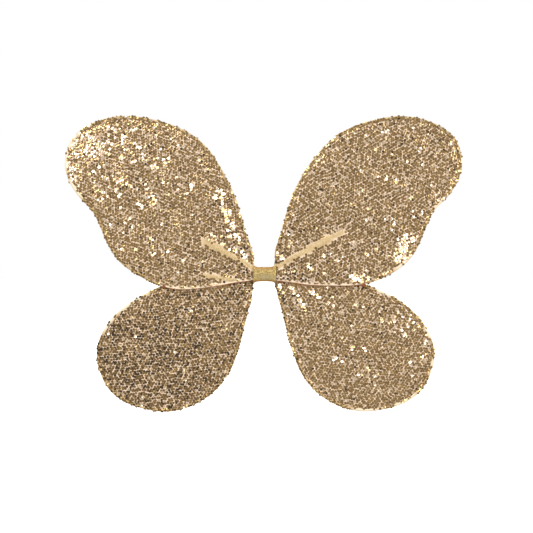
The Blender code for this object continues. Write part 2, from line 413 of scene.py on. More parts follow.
# %% One record for each wing
PANEL_STEP = 2.8 * MM
BAND_LOW, BAND_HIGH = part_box("centre_band")
BAND_END = BAND_HIGH.x
BAND_SHIFT = 1.3 * MM  # the band was wrapped a little to one side
CENTRE_Y = (BAND_LOW.y + BAND_HIGH.y) / 2
LEGS = {  # where each wing's edge leaves the band, and how far along the wire it joins it, in mm
    "upper": ([(11.0, 5.8), (12.7, 8.6), (13.9, 12.4)], [(24, -7.4), (16, -6.4), (11.0, -5.2)]),
    "lower": ([(11.0, 1.6), (15, 2.0), (22, 2.4)], [(14.9, -13.0), (13.3, -9.4), (11.0, -6.4)]),
}
LOWER_SLACK = Vector((1.4, -0.3)) * MM  # the lower pair was sewn on a little to one side
SLACK_REACH = 45 * MM
SLACK = {  # stretches of edge that strayed when sewn: where, over how far, and by how much, in mm
    "upper_left": [((-92, -13), 34, (0, -4.2)), ((-66, 143), 26, (1.7, 1.5)),
                   ((-11, 14), 9, (2.0, 0)), ((-190, 70), 40, (-0.6, -0.4))],
    "upper_right": [((95, 165), 50, (0.5, -0.8))],
    "lower_left": [((-140, -40), 34, (1.0, -1.8)), ((-14, -30), 26, (1.5, 0)),
                   ((-40, -100), 40, (1.2, 0)), ((-120, -155), 50, (0, -0.9))],
    "lower_right": [((190, -85), 55, (2.0, 0)), ((150, -150), 60, (0.4, -0.9))],
}
JOINS = {
    "upper": (lambda p: p.y > 15.5 * MM, lambda p: abs(p.x) > 31 * MM),
    "lower": (lambda p: abs(p.x) > 29 * MM, lambda p: p.y < -16.5 * MM),
}


class Wing:
    """One wing's name, plane and edge, read from the frame."""

    def __init__(self, level, side):
        self.level, self.side, self.sign = level, side, SIDES[side]
        self.name = f"{level}_{side}"
        low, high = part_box(self.name + "_frame_wire")
        self.plane = (low.y + high.y) / 2
        pivot = joints[f"{side}_wing_fold"]["pos_m"]
        root = Vector((pivot[0], pivot[2]))
        ring = walk_edge(self.name + "_sequin_cloth")
        pairs = list(zip(ring, ring[1:] + ring[:1]))
        cut = min(range(len(ring)), key=lambda i: ((pairs[i][0] + pairs[i][1]) / 2 - root).length)
        knots = ring[cut + 1:] + ring[:cut + 1]
        if knots[0].y < knots[-1].y:
            knots.reverse()
        wire = moved_out(smooth_path(knots, PANEL_STEP), PANEL_TO_WIRE, self.sign)
        leaves, returns = JOINS[level]
        first = next(i for i, p in enumerate(wire) if leaves(p))
        last = next(i for i in reversed(range(len(wire))) if returns(wire[i]))
        head, tail = ([Vector((self.sign * x * MM, z * MM)) for x, z in leg] for leg in LEGS[level])
        whole = [p + self.slack(p, root) for p in head + wire[first:last + 1:3] + tail]
        self.edge = smooth_path(whole, PANEL_STEP)
        self.edge_array = np.array([tuple(p) for p in self.edge])

    def slack(self, point, root):
        """How far the cloth's edge strays from the design at this point of it."""
        moved = Vector((0, 0))
        for place, reach, shift in SLACK[self.name]:
            near = math.exp(-(((point / MM - Vector(place)).length / reach) ** 2))
            moved += Vector(shift) * MM * near
        if self.level == "lower":
            moved += LOWER_SLACK * min(1.0, (point - root).length / SLACK_REACH)
        return moved

    def inside(self, x, z):
        """How far each point is inside the wing's edge, negative outside it."""
        a = self.edge_array
        b = np.roll(a, -1, axis=0)
        near = np.full(x.shape, 1.0)
        crossings = np.zeros(x.shape, int)
        for (ax, az), (bx, bz) in zip(a, b):
            dx, dz = bx - ax, bz - az
            t = np.clip(((x - ax) * dx + (z - az) * dz) / (dx * dx + dz * dz), 0, 1)
            if (ax, az) != tuple(a[-1]):
                near = np.minimum(near, np.hypot(x - ax - t * dx, z - az - t * dz))
            if az != bz:
                level_with = (az > z) != (bz > z)
                crossings += level_with & (x < dx * (z - az) / dz + ax)
        return np.where(crossings % 2 == 1, near, -near)


wings = {f"{level}_{side}": Wing(level, side) for level in ("upper", "lower") for side in SIDES}
for wing in wings.values():
    a = wing.edge_array
    wing.area = abs(np.sum(a[:, 0] * np.roll(a[:, 1], -1) - np.roll(a[:, 0], -1) * a[:, 1])) / 2
    print(wing.name, len(wing.edge), "edge points,", round(wing.area * 1e6), "mm2")

# %% [markdown]
# ## How the cloth lies
# Real cloth on a wire loop isn't flat. It is gathered into the band, so folds fan out from there
# and fade. Between the wires it ripples gently. The ripples matter more than their size suggests:
# they turn whole patches of sequins towards a lamp, and those patches shine.

# %% The cloth's relief
RIM_RADIUS = 1.9 * MM
CLOTH_RISE, LEAST_RISE = 1.3 * MM, 0.25 * MM
SETTLED_BY, FREE_BY = 1.6 * MM, 14 * MM  # how far in from the edge
GATHER_HEIGHT = 0.55 * MM
GATHER_REACH = 30 * MM
GATHER_FROM, GATHER_GROWN = 3 * MM, 10 * MM
GATHER_FOLDS = ((17, 0.6), (29, 0.4))  # how many folds round the root, and their share
RIPPLE_HEIGHT = 0.75 * MM
RIPPLE_WAVES, RIPPLE_SUM = 6, 2.4
RNG = np.random.default_rng(11)

RIPPLES = {}
for name in [w + face for w in wings for face in ("", "_back")]:
    turns = RNG.uniform(0, 2 * math.pi, RIPPLE_WAVES)
    lengths = RNG.uniform(26, 62, RIPPLE_WAVES) * MM
    starts = RNG.uniform(0, 2 * math.pi, RIPPLE_WAVES)
    RIPPLES[name] = (turns, lengths, starts)

# Pleats that carry no sequins: from, to (mm, on the right-hand wing), half width and height.
PLEATS = {
    "upper_right": [((12.5, 7.0), (50, 27.5), 2.9, 0.9), ((50, 27.5), (74, 39.8), 4.6, 0.8),
                    ((74, 39.8), (90, 48.0), 2.4, 0.5)],
    "upper_left": [((12.0, 7.0), (38, 22), 2.7, 0.9), ((38, 22), (66, 37), 4.6, 0.9),
                   ((34, -6.6), (66, -1.2), 2.6, 0.7)],
}


def ripple(x, z, name):
    turns, lengths, starts = RIPPLES[name]
    total = np.zeros_like(x)
    for turn, length, start in zip(turns, lengths, starts):
        total += np.sin((x * math.cos(turn) + z * math.sin(turn)) * 2 * math.pi / length + start)
    return total / RIPPLE_SUM


def gather(x, z, name):
    out = np.abs(x) - 8 * MM
    reach, angle = np.hypot(out, z), np.arctan2(z, out)
    starts = RIPPLES[name][2]
    folds = sum(np.sin(n * angle + start) * share for (n, share), start in zip(GATHER_FOLDS, starts))
    grown = np.clip((reach - GATHER_FROM) / GATHER_GROWN, 0, 1)
    return folds * grown * np.exp(-reach / GATHER_REACH)


def off_run(x, z, start, end):
    """How far each point is from a straight run, whose ends are in mm."""
    (ax, az), (bx, bz) = np.array(start) * MM, np.array(end) * MM
    dx, dz = bx - ax, bz - az
    share = np.clip(((x - ax) * dx + (z - az) * dz) / (dx * dx + dz * dz), 0, 1)
    return np.hypot(x - ax - share * dx, z - az - share * dz)


def pleat(x, z, name):
    raised = np.zeros_like(x)
    for start, end, half, height in PLEATS.get(name, []):
        off = off_run(np.abs(x), z, start, end)
        raised = np.maximum(raised, height * MM * np.exp(-((off / (half * MM)) ** 2)))
    return raised


def bareness(x, z, name):
    """1 on a pleat that carries no sequins, 0 where they cover the cloth."""
    bare = np.zeros_like(x)
    for start, end, half, _ in PLEATS.get(name, []):
        off = off_run(np.abs(x), z, start, end)
        bare = np.maximum(bare, np.clip(1.6 - off / (half * MM), 0, 1))
    return bare


def height(wing, x, z, back=False):
    """How far the cloth stands out from the wing's plane, on its front or its back."""
    name = wing.name + ("_back" if back else "")
    inside = wing.inside(x, z)
    settled = 1 - np.exp(-np.clip(inside, 0, None) / SETTLED_BY)
    free = np.clip(inside / FREE_BY, 0, 1)
    cloth = settled * (CLOTH_RISE + GATHER_HEIGHT * gather(x, z, name))
    cloth = cloth + settled * free * RIPPLE_HEIGHT * ripple(x, z, name) + pleat(x, z, name) * free**0.3
    return np.maximum(cloth, LEAST_RISE * settled), inside


# %% [markdown]
# ## The cloth panels
# Each panel is a fan: its threads run from the band out to the wire, as the gathers do. A flat
# grid is the quickest way to get that order of faces, so the grid's columns become the spokes and
# its rows become the rings, and then the relief lifts it.

# %% Cloth panels
PANEL_RINGS = 46


def new_piece(name, shape, *materials, smooth=True):
    data = bpy.data.meshes.new(name)
    shape.to_mesh(data)
    shape.free()
    for each in materials:
        data.materials.append(each)
    if smooth:
        data.shade_smooth()
    made = bpy.data.objects.new(name, data)
    put_in_scene(made)
    return made


def stamp(shape, template, where):
    """One more copy of a small mesh in a shape, at its place."""
    template.transform(where)
    shape.from_mesh(template)
    template.transform(where.inverted())


def panel(wing, material, back=False):
    shape = bmesh.new()
    columns = len(wing.edge) - 1
    bmesh.ops.create_grid(shape, x_segments=columns, y_segments=PANEL_RINGS, size=1.0)
    top, bottom = wing.edge[0], wing.edge[-1]
    flat = np.empty((len(shape.verts), 2))
    for i, vert in enumerate(shape.verts):
        k = round((vert.co.x + 1) / 2 * columns)
        root = top.lerp(bottom, k / columns)
        flat[i] = root.lerp(wing.edge[k], (vert.co.y + 1) / 2)
    rise, _ = height(wing, flat[:, 0], flat[:, 1], back)
    facing = 1 if back else -1
    for vert, (x, z), up in zip(shape.verts, flat, rise):
        vert.co = (x, wing.plane + facing * up, z)
    bmesh.ops.remove_doubles(shape, verts=shape.verts, dist=1e-6)
    shape.normal_update()
    wrong = [f for f in shape.faces if f.normal.y * facing < 0]
    bmesh.ops.reverse_faces(shape, faces=wrong)
    made = new_piece(wing.name + ("_lining" if back else "_backing"), shape, material)
    if not back:
        at = np.array([(v.co.x, v.co.z) for v in made.data.vertices])
        paint(made, "bare", bareness(at[:, 0], at[:, 1], wing.name))
    return made


def bend_with(piece):
    """The piece's placing is baked into its mesh."""
    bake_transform(piece)


for wing in wings.values():
    front = panel(wing, backing_cloth)
    rear = panel(wing, lining_cloth, back=True)
    for piece, node, slot in ((front, "_sequin_cloth", "sequin"), (rear, "_back_lining", "lining")):
        bend_with(piece)
        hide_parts(wing.name + node)
    print(wing.name, "panels", len(front.data.vertices), "points each")

# %% [markdown]
# ## The rolled edges
# The cloth is turned over the wire and sewn, which leaves a cream roll all round. A roll is a tube
# that never has quite the same thickness, so it is a curve whose points each have their own radius.


# %% Rolled edges
def tube(name, line, radius, material, radii=None, sides=2):
    """A mesh tube along 3-D points, with a share of the radius for each point."""
    data = bpy.data.curves.new(name, "CURVE")
    data.dimensions = "3D"
    data.bevel_depth = radius
    data.bevel_resolution = sides
    data.use_fill_caps = True
    spline = data.splines.new("POLY")
    spline.points.add(len(line) - 1)
    for i, (target, point) in enumerate(zip(spline.points, line)):
        target.co = (*point, 1.0)
        target.radius = 1.0 if radii is None else radii[i]
    guide = bpy.data.objects.new(name + "_guide", data)
    put_in_scene(guide)
    bpy.context.view_layer.update()
    shape = bmesh.new()
    seen_as = guide.evaluated_get(bpy.context.evaluated_depsgraph_get())
    made = bpy.data.meshes.new_from_object(seen_as)
    shape.from_mesh(made)
    bpy.data.meshes.remove(made)
    bpy.data.objects.remove(guide)
    bmesh.ops.remove_doubles(shape, verts=shape.verts, dist=1e-7)
    bmesh.ops.recalc_face_normals(shape, faces=shape.faces)
    return new_piece(name, shape, material)


SEAM_END = 116 * MM
# Stretches of rolled edge that show without sequins: centre (mm) and radius (mm).
BARE_EDGE = {
    "upper_left": [((-222, 138), 28), ((-214, 96), 14)],
    "upper_right": [((200, 76), 8), ((158, 12), 12)],
    "lower_left": [((-150, -30), 22), ((-176, -56), 12)],
    "lower_right": [((189, -104), 10), ((160, -142), 16), ((118, -154), 18), ((136, -22), 10),
                    ((186, -66), 8)],
}


def is_seam(wing, point):
    return wing.level == "upper" and point.y < 1 * MM and abs(point.x) < SEAM_END


def rolled_edge(wing):
    radii = []
    for i, point in enumerate(wing.edge):
        lump = 1 + 0.06 * math.sin(i * 1.7) + 0.05 * math.sin(i * 0.63 + 1)
        root = min(1.0, 0.42 + max(0.0, abs(point.x) - BAND_END) / (30 * MM) + abs(point.y) / 0.05)
        seam = 0.5 if is_seam(wing, point) else 1.0
        radii.append(lump * min(root, seam))
    for _ in range(3):
        radii = [sum(radii[max(0, i - 1):i + 2]) / len(radii[max(0, i - 1):i + 2])
                 for i in range(len(radii))]
    wing.radii = np.array(radii)
    line = [Vector((p.x, wing.plane, p.y)) for p in wing.edge]
    piece = tube(wing.name + "_rolled_edge", line, RIM_RADIUS, rim_cloth, radii, sides=3)
    bare = [1.0 if is_seam(wing, Vector((v.co.x, v.co.z))) else max(
        min(1.0, 1.6 * (1.2 - math.hypot(v.co.x - cx * MM, v.co.z - cz * MM) / (radius * MM)))
        for (cx, cz), radius in BARE_EDGE[wing.name]) for v in piece.data.vertices]
    paint(piece, "bare", np.clip(bare, 0, 1))
    bend_with(piece)
    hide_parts(wing.name + "_edge_casing")
    return piece


for wing in wings.values():
    print(rolled_edge(wing).name)

# %% [markdown]
# ## The sequins
# A sequin is a thin cup about 3 mm across, stamped from foil with a hole for its thread. One is
# modelled from a ring of edges drawn in to the hole, given a little thickness, and then repeated.
# They sit almost close packed in winding rows, each tipped a little its own way. The cups' facets
# matter: one side of a cup catches a lamp while the rest stays brown.

# %% One sequin
SEQUIN_RADIUS = 1.53 * MM
SEQUIN_HOLE = 0.32
SEQUIN_CUP = 0.10 * MM
SEQUIN_FOIL = 0.08 * MM
SEQUIN_SIDES = 7


def sequin_mesh(tint):
    """A cup in one foil tint. The face that fills its hole shows the knot of its thread."""
    shape = bmesh.new()
    bmesh.ops.create_circle(shape, cap_ends=False, radius=SEQUIN_RADIUS, segments=SEQUIN_SIDES)
    grown = bmesh.ops.extrude_edge_only(shape, edges=shape.edges)
    inner = [g for g in grown["geom"] if isinstance(g, bmesh.types.BMVert)]
    bmesh.ops.scale(shape, vec=(SEQUIN_HOLE, SEQUIN_HOLE, 1), verts=inner)
    bmesh.ops.translate(shape, vec=(0, 0, -SEQUIN_CUP), verts=inner)
    bmesh.ops.contextual_create(shape, geom=[e for e in shape.edges if set(e.verts) <= set(inner)])
    bmesh.ops.recalc_face_normals(shape, faces=shape.faces)
    bmesh.ops.solidify(shape, geom=shape.faces, thickness=SEQUIN_FOIL)
    bmesh.ops.recalc_face_normals(shape, faces=shape.faces)
    for face in shape.faces:
        face.material_index = len(foils) if len(face.verts) == SEQUIN_SIDES else tint
    data = bpy.data.meshes.new("sequin")
    shape.to_mesh(data)
    shape.free()
    return data


def triangles(data):
    return sum(len(p.vertices) - 2 for p in data.polygons)


sequins = [sequin_mesh(i) for i in range(len(foils))]
print("a sequin has", triangles(sequins[0]), "triangles")

# %% [markdown]
# Rows are laid as a close-packed grid that is bent by slow waves, so that it winds as sewn rows do,
# and each sequin then strays a little. A few hang loose and tip further. They and the stroked ones
# get pale tints, a painted highlight that makes their glints white. Pleats and parts of the rolled
# edge stay bare. Near the roots, and far out on the lower left wing, more of the sequins get dark
# tints, as painted shade.

# %% Sew them on
PITCH = 2.95 * MM
ROW_GAP = 0.9
ROW_TURN, LOWER_TURN = math.radians(24), 0.5
GRID_MARGIN = 6 * MM
WIND = 0.5 * MM
QUICK_WIND, QUICKER = 0.12 * MM, 4.7
JITTER = 0.58 * MM
LIFT, LIFT_SPREAD = 0.32 * MM, 0.14 * MM
TIP_DEG = 4.0
LOOSE_SHARE, LOOSE_TIP_DEG = 0.03, 22
ROOT_REACH = 26 * MM
SHADE_REACH = 165 * MM
OVER_EDGE = 2.0 * MM
UNDER_BAND = 0.4 * MM
BARE_SEAM = 0.9 * MM
PLEAT_BARE, PLEAT_RAGGED, PLEAT_STRAYS = 0.72, 1.9 * MM, 0.04
BARE_EDGE_WIDTH = 1.2 * MM
STRAYS = 0.25

# Where the sequins have been stroked one way, so that they lie facing the key lamp together:
# from, to (mm), half width (mm) and the share of them.
STROKED = {
    "upper_left": [((-214, 158), (-194, 142), 15, 0.5), ((-200, 150), (-140, 110), 42, 0.15),
                   ((-52, 92), (-31, 42), 6, 0.5), ((-31, 42), (-19, 14), 3, 0.5),
                   ((-222, 128), (-212, 92), 6, 0.45),
                   ((-60, 44), (-26, 22), 3.5, 0.35), ((-130, 60), (-60, 60), 60, 0.02)],
    "upper_right": [((160, 38), (153, 20), 7.5, 0.9), ((101, -3), (117, -5), 4.5, 0.85),
                    ((48, 13), (57, 3), 1.8, 0.9), ((66, 22), (71, 20), 1.6, 0.9),
                    ((20, 16), (30, 36), 2, 0.3), ((90, 20), (160, 50), 36, 0.02),
                    ((90, 90), (180, 130), 70, 0.01)],
    "lower_right": [((48, -15), (64, -26), 1.9, 0.9), ((31, -14), (50, -42), 1.8, 0.7),
                    ((17, -10), (22, -22), 1.6, 0.8), ((60, -28), (80, -36), 2, 0.4),
                    ((110, -70), (140, -90), 60, 0.012), ((150, -40), (180, -80), 14, 0.10)],
}
STROKE_SPREAD_DEG = 3.0
CLUMP = 1.9 * MM
KEY_WAY = Vector(KEY_PLACE).normalized()
FACING_KEY = (KEY_WAY + Vector((0, -1, 0))).normalized()


def clumps(x, z, share, rng):
    """Small clumps of sequins that lie together, covering about that share of the cloth."""
    low = np.array([x.min(), z.min()])
    high = np.array([x.max(), z.max()])
    count = round(-math.log(1 - share) * np.prod(high - low) / (math.pi * CLUMP**2))
    centres = rng.uniform(low, high, (count, 2))
    sizes = CLUMP * rng.uniform(0.6, 1.3, count)
    hit = np.zeros(x.shape, bool)
    for (cx, cz), size in zip(centres, sizes):
        hit |= np.hypot(x - cx, z - cz) < size
    return hit


def winding(x, z, wing):
    """Slow and quick waves that push the rows sideways, so that they wander but stay as dense."""
    turns, lengths, starts = RIPPLES[wing.name]
    move_x, move_z = np.zeros_like(x), np.zeros_like(x)
    for size, quicker in ((WIND, 1.0), (QUICK_WIND, QUICKER)):
        for turn, length, start in zip(turns, lengths / quicker, starts * quicker):
            phase = (x * math.cos(turn) + z * math.sin(turn)) * 2 * math.pi / length + start
            move_x -= size * math.sin(turn) * np.sin(phase)
            move_z += size * math.cos(turn) * np.sin(phase)
    return move_x, move_z


def winding_grid(wing, rng):
    low, high = wing.edge_array.min(0) - GRID_MARGIN, wing.edge_array.max(0) + GRID_MARGIN
    middle, half = (low + high) / 2, max(high - low) * 0.75
    steps = np.arange(-half, half, PITCH)
    rows = np.arange(-half, half, PITCH * ROW_GAP)
    u, v = np.meshgrid(steps, rows)
    u = u + (np.arange(len(rows)) % 2)[:, None] * PITCH / 2
    turn = ROW_TURN * wing.sign + (LOWER_TURN if wing.level == "lower" else 0)
    x = middle[0] + u * math.cos(turn) - v * math.sin(turn)
    z = middle[1] + u * math.sin(turn) + v * math.cos(turn)
    x, z = x.ravel(), z.ravel()
    move_x, move_z = winding(x, z, wing)
    x, z = x + move_x, z + move_z
    return x + rng.uniform(-JITTER, JITTER, x.shape), z + rng.uniform(-JITTER, JITTER, x.shape)


def places(wing, rng):
    x, z = winding_grid(wing, rng)
    inside = wing.inside(x, z)
    band_end = BAND_END + wing.sign * BAND_SHIFT
    keep = (inside > -OVER_EDGE) & (np.abs(x) > band_end - UNDER_BAND)
    seam = (np.abs(x) < SEAM_END) & (z < 0) if wing.level == "upper" else np.zeros(x.shape, bool)
    keep &= ~(seam & (inside < BARE_SEAM))
    for (cx, cz), radius in BARE_EDGE[wing.name]:
        near = np.hypot(x - cx * MM, z - cz * MM) < radius * MM
        keep &= ~(near & (inside < BARE_EDGE_WIDTH) & (rng.random(x.shape) > STRAYS))
    for start, end, half, _ in PLEATS.get(wing.name, []):
        off = off_run(np.abs(x), z, start, end)
        ragged = rng.uniform(0, PLEAT_RAGGED, x.shape)
        keep &= (off > half * PLEAT_BARE * MM + ragged) | (rng.random(x.shape) < PLEAT_STRAYS)
    return x[keep], z[keep]


def surface(wing, x, z):
    rise, inside = height(wing, x, z)
    roll = np.sqrt(np.clip(RIM_RADIUS**2 - inside**2, 0, None))
    return np.maximum(rise, roll)


def sew(wing):
    rng = np.random.default_rng(sum(map(ord, wing.name)))
    x, z = places(wing, rng)
    step = 0.5 * MM
    rise = surface(wing, x, z)
    slope_x = (surface(wing, x + step, z) - surface(wing, x - step, z)) / (2 * step)
    slope_z = (surface(wing, x, z + step) - surface(wing, x, z - step)) / (2 * step)
    slope_x, slope_z = np.clip(slope_x, -0.5, 0.5), np.clip(slope_z, -0.5, 0.5)
    loose = rng.random(x.shape) < LOOSE_SHARE
    tip = np.where(loose, LOOSE_TIP_DEG, TIP_DEG)
    tip_x, tip_z = (np.radians(rng.normal(0, 1, x.shape) * tip) for _ in range(2))
    dark = rng.choice(len(foils), size=x.shape, p=ROOT_SHADE_SHARES)
    tints = rng.choice(len(foils), size=x.shape, p=TINT_SHARES)
    # Painted shade: far out on the lower left wing, where less light falls, more sequins get dark
    # tints.
    if wing.name == "lower_left":
        shade_tints = rng.choice(len(foils), size=x.shape, p=LOWER_LEFT_SHADE_SHARES)
        tints = np.where(rng.random(x.shape) < np.hypot(x, z) / SHADE_REACH, shade_tints, tints)
    # Painted shade: near the roots, where the cloth is gathered into the band, more sequins get dark
    # tints.
    near_root = np.exp(-np.hypot(np.abs(x) - BAND_END, z) / ROOT_REACH)
    tints = np.where(rng.random(x.shape) < near_root, dark, tints)
    stroked = np.zeros(x.shape, bool)
    for start, end, half, share in STROKED.get(wing.name, []):
        off = off_run(x, z, start, end)
        stroked |= (off < half * MM * rng.uniform(0.6, 1.2, x.shape)) & clumps(x, z, share, rng)
    # Painted highlight: the stroked sequins, which face the key lamp, and the loose ones get pale
    # tints, so that their glints read white.
    pale = rng.choice(len(foils), size=x.shape, p=PALE_HIGHLIGHT_SHARES)
    tints = np.where(stroked | loose, pale, tints)
    lift = LIFT + rng.uniform(-LIFT_SPREAD, LIFT_SPREAD, x.shape)
    spins = rng.uniform(0, 2 * math.pi, x.shape)
    shape = bmesh.new()
    for i in range(len(x)):
        normal = Vector((-slope_x[i] + tip_x[i], -1.0, -slope_z[i] + tip_z[i])).normalized()
        if stroked[i]:
            spread = Vector(rng.normal(0, math.radians(STROKE_SPREAD_DEG), 3))
            normal = (FACING_KEY + spread).normalized()
        place = Vector((x[i], wing.plane - rise[i] - lift[i], z[i]))
        turn = normal.to_track_quat("Z", "Y").to_matrix().to_4x4()
        where = Matrix.Translation(place) @ turn @ Matrix.Rotation(spins[i], 4, "Z")
        stamp(shape, sequins[tints[i]], where)
    piece = new_piece(wing.name + "_sequins", shape, *foils, knot_thread, smooth=False)
    bend_with(piece)
    return piece, len(x)


for wing in wings.values():
    piece, count = sew(wing)
    print(piece.name, count, "sequins,", triangles(piece.data), "triangles")

# %% [markdown]
# ## The wires
# Each wing's frame is one length of drawn steel wire, bent into a loop. Its two ends run into the
# band, so the wire bends beside the band when the wings are folded. It is seldom seen: it shows
# only as the roundness inside the rolled edge.

# %% Frame wires
WIRE_RADIUS = 1.0 * MM

for wing in wings.values():
    line = [Vector((p.x, wing.plane, p.y)) for p in wing.edge]
    taper = [min(1.0, r * RIM_RADIUS / WIRE_RADIUS - 0.3) for r in wing.radii]
    wire = tube(wing.name + "_wire", line, WIRE_RADIUS, drawn_steel, taper)
    bend_with(wire)
    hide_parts(wing.name + "_frame_wire")
    print(wire.name, round(sum((b - a).length for a, b in zip(line, line[1:])) * 1000), "mm of wire")

# %% [markdown]
# ## The band
# A strip of glitter cloth is wrapped round the gathered roots, pulled in at the middle and closed
# at the back, under the pad. It starts as a flat grid that is wrapped round a rounded section, so
# that its waist, its flared ends and its small creases are all one surface.

# %% The band
BAND_HALF_LENGTH = BAND_END
BAND_HALF_DEPTH = (BAND_HIGH.y - BAND_LOW.y) / 2
BAND_HALF_HEIGHT = (BAND_HIGH.z - BAND_LOW.z) / 2
BAND_WAIST = 0.935
BAND_SQUARENESS = 3.0
BAND_CLOTH = 0.8 * MM
BAND_LIP = 1.9 * MM
LIP_FROM = 0.55  # share of the half length
# Where the band's painted edge shade starts, and over how much of the height it grows.
EDGE_SHADE_FROM, EDGE_SHADE_OVER = 0.70, 0.2  # shares of the half height


def band():
    shape = bmesh.new()
    bmesh.ops.create_grid(shape, x_segments=72, y_segments=32, size=1.0)
    for vert in shape.verts:
        turn, along_it = math.pi * vert.co.x, vert.co.y
        cos, sin = math.cos(turn), math.sin(turn)
        power = 2 / BAND_SQUARENESS
        waist = BAND_WAIST + (1 - BAND_WAIST) * abs(along_it) ** 1.8
        crease = 0.10 * MM * math.sin(9 * turn + 3 * along_it) * (1 - along_it**2)
        crease += 0.07 * MM * math.sin(23 * turn - 5 * along_it)
        lip = BAND_LIP * max(0.0, (abs(along_it) - LIP_FROM) / (1 - LIP_FROM)) ** 2
        high = (BAND_HALF_HEIGHT - BAND_CLOTH / 2 - 0.3 * MM) * waist + crease + lip
        deep = (BAND_HALF_DEPTH - BAND_CLOTH / 2 - 0.4 * MM) + crease * 0.6
        y = -math.copysign(abs(cos) ** power, cos) * deep
        z = math.copysign(abs(sin) ** power, sin) * high
        slant = 0.25 * MM * math.sin(turn * 2 + 0.7)
        vert.co = (along_it * BAND_HALF_LENGTH + BAND_SHIFT + slant, CENTRE_Y + y, z)
    bmesh.ops.remove_doubles(shape, verts=shape.verts, dist=0.01 * MM)
    bmesh.ops.recalc_face_normals(shape, faces=shape.faces)
    bmesh.ops.solidify(shape, geom=shape.faces, thickness=BAND_CLOTH)
    bmesh.ops.recalc_face_normals(shape, faces=shape.faces)
    made = new_piece("glitter_band", shape, glitter_cloth)
    at = np.array([v.co for v in made.data.vertices])
    share = np.abs((at[:, 0] - BAND_SHIFT) / BAND_HALF_LENGTH)
    high = (BAND_HALF_HEIGHT - 0.5 * MM) * (BAND_WAIST + (1 - BAND_WAIST) * share**1.8)
    high = high + BAND_LIP * np.clip((share - LIP_FROM) / (1 - LIP_FROM), 0, None) ** 2
    # Painted shade: darker orange-brown towards the top and bottom, where the band turns away.
    paint(made, "worn", np.clip((np.abs(at[:, 2]) / high - EDGE_SHADE_FROM) / EDGE_SHADE_OVER, 0, 1))
    # A greyer patch below the middle of the band's front.
    off = np.hypot((at[:, 0] - 3 * MM) / (10 * MM), (at[:, 2] + 3.5 * MM) / (4 * MM))
    paint(made, "rubbed", 0.75 * np.exp(-(off**2)))
    return made


band_piece = band()
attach(band_piece, "centre")
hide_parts("centre_band")
print("band", [round(x * 1000, 1) for x in band_piece.dimensions], "mm")

# %% [markdown]
# ## The pad and the elastic straps
# At the back a felt pad lies against the wearer, and covers the ends of two elastic loops for the
# arms. The elastic is flat under the pad and turns on edge as it leaves, since the loop stands
# away from the wings. Its ribs run along it, so they are modelled as ridges across a flat strip.

# %% Felt pad
PAD_LOW, PAD_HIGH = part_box("back_patch")
PAD_SIZE = PAD_HIGH - PAD_LOW
PAD_MIDDLE = (PAD_HIGH + PAD_LOW) / 2
STITCH_INSET = 1.6 * MM
STITCH_LENGTH, STITCH_GAP, STITCH_RADIUS = 1.5 * MM, 0.9 * MM, 0.17 * MM
PAD_CORNER, PAD_BORDER = 2.2 * MM, 0.45 * MM


def felt_pad():
    shape = bmesh.new()
    bmesh.ops.create_cube(shape, size=1.0)
    bmesh.ops.scale(shape, vec=PAD_SIZE, verts=shape.verts)
    corners = [e for e in shape.edges if abs((e.verts[0].co - e.verts[1].co).y) > PAD_SIZE.y / 2]
    bmesh.ops.bevel(shape, geom=corners, offset=PAD_CORNER, segments=5, profile=0.5,
                    affect="EDGES", material=-1)
    borders = [e for e in shape.edges if abs(e.verts[0].co.y - e.verts[1].co.y) < 1e-6]
    bmesh.ops.bevel(shape, geom=borders, offset=PAD_BORDER, segments=3, profile=0.5,
                    affect="EDGES", material=-1)
    bmesh.ops.translate(shape, vec=PAD_MIDDLE, verts=shape.verts)
    bmesh.ops.recalc_face_normals(shape, faces=shape.faces)
    return new_piece("felt_pad", shape, wool_felt)


def stitch_mesh(length, radius):
    """One stitch: a short thread that rises from its hole and goes down again."""
    shape = bmesh.new()
    bmesh.ops.create_icosphere(shape, subdivisions=1, radius=radius)
    bmesh.ops.scale(shape, vec=(length / radius / 2, 1, 1), verts=shape.verts)
    data = bpy.data.meshes.new("stitch")
    shape.to_mesh(data)
    shape.free()
    return data


def stitches(name, placed, length, radius, material):
    """One piece from many stitches, each at a place with a direction."""
    template = stitch_mesh(length, radius)
    shape = bmesh.new()
    for place, direction in placed:
        turn = direction.to_track_quat("X", "Y").to_matrix().to_4x4()
        stamp(shape, template, Matrix.Translation(place) @ turn)
    return new_piece(name, shape, material)


def pad_stitching():
    """Evenly spaced stitches along the pad's four edges."""
    y = PAD_HIGH.y - 0.02 * MM
    wide, tall = PAD_SIZE.x / 2 - STITCH_INSET, PAD_SIZE.z / 2 - STITCH_INSET
    placed = []
    for sign in (-1, 1):
        for half in (wide, tall):
            count = int(2 * half / (STITCH_LENGTH + STITCH_GAP)) + 1
            for i in range(count):
                at = -half + (i + 0.5) * 2 * half / count
                if half == wide:
                    placed.append((Vector((at, y, sign * tall)), Vector((1, 0, 0.04))))
                else:
                    placed.append((Vector((sign * wide, y, at)), Vector((0.04, 0, 1))))
    return stitches("pad_stitching", placed, STITCH_LENGTH, STITCH_RADIUS, cream_thread)


pad = felt_pad()
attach(pad, "centre")
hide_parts("back_patch")
pad_thread = pad_stitching()
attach(pad_thread, "centre")
print("pad", [round(x * 1000, 1) for x in pad.dimensions], "mm")

# %% Elastic straps
STRAP_WIDTH = 6.0 * MM
STRAP_THICKNESS = 0.9 * MM
STRAP_RIBS, RIB_RISE = 5, 0.12 * MM
STRAP_STEP = 1.6 * MM
